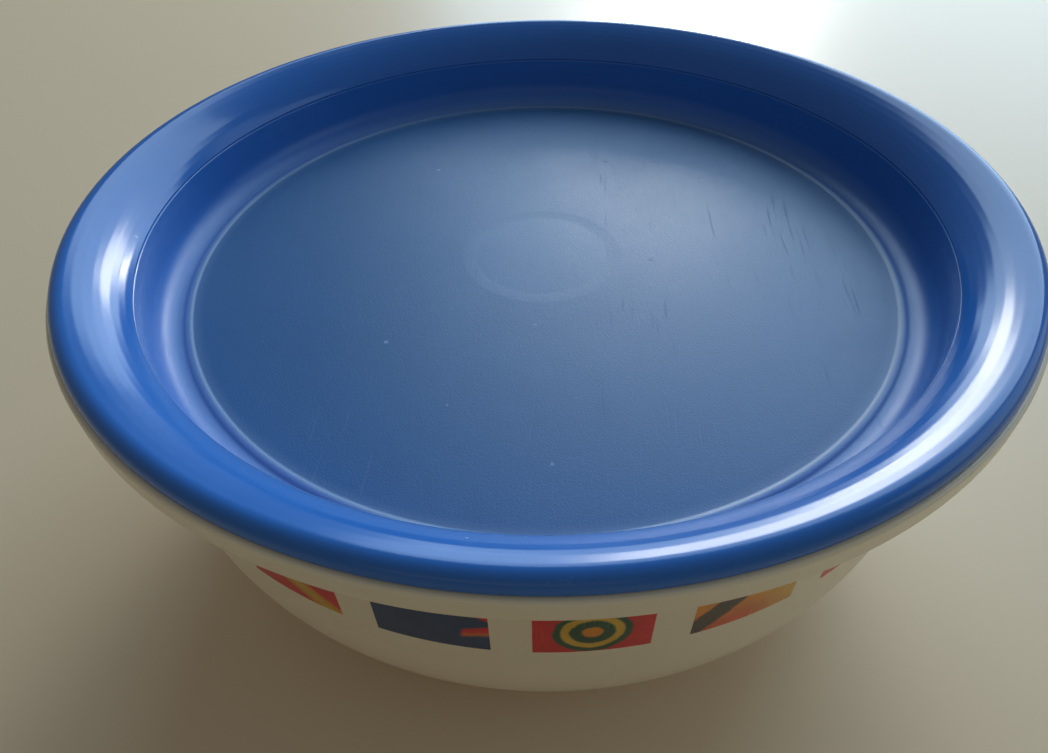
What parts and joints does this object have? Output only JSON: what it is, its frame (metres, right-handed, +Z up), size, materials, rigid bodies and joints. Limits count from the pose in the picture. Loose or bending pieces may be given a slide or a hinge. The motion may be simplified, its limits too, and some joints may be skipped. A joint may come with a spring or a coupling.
{
  "type": "lidded rice bowl",
  "caption": "Round one-portion bowl with a flared lip, flush picture tiles round the wall, and a lift-off lid with a recessed flat panel.",
  "frame": {"origin": "centre of the foot ring's face, on the surface that the bowl stands on", "axes": "+Z up along the common axis of the bowl and the lid; -Y is the middle of a gap between two tiles; +X completes the frame"},
  "size_m": [0.1514, 0.1514, 0.0643],
  "materials": {
    "bowl_white": "off-white moulded plastic, satin gloss",
    "lid_blue": "blue moulded lid, glossy rim and finely grained matt panel",
    "tile_red_stripe": "printed foil under the bowl's gloss, red with an orange band",
    "tile_navy": "printed foil under the bowl's gloss, dark navy",
    "tile_red_ring": "printed foil under the bowl's gloss, red with green rings",
    "tile_orange": "printed foil under the bowl's gloss, orange with a dark bar"
  },
  "bodies": {
    "bowl": {"bowl": "bowl_white", "tiles_stripe": "tile_red_stripe", "tiles_night": "tile_navy", "tiles_ring": "tile_red_ring", "tiles_slant": "tile_orange"},
    "lid": {"lid": "lid_blue"}
  },
  "joints": [
    {"name": "lid_lift", "type": "slide", "parent": "bowl", "child": "lid", "axis": [0, 0, 1], "range_m": [0, 0.08]}
  ]
}
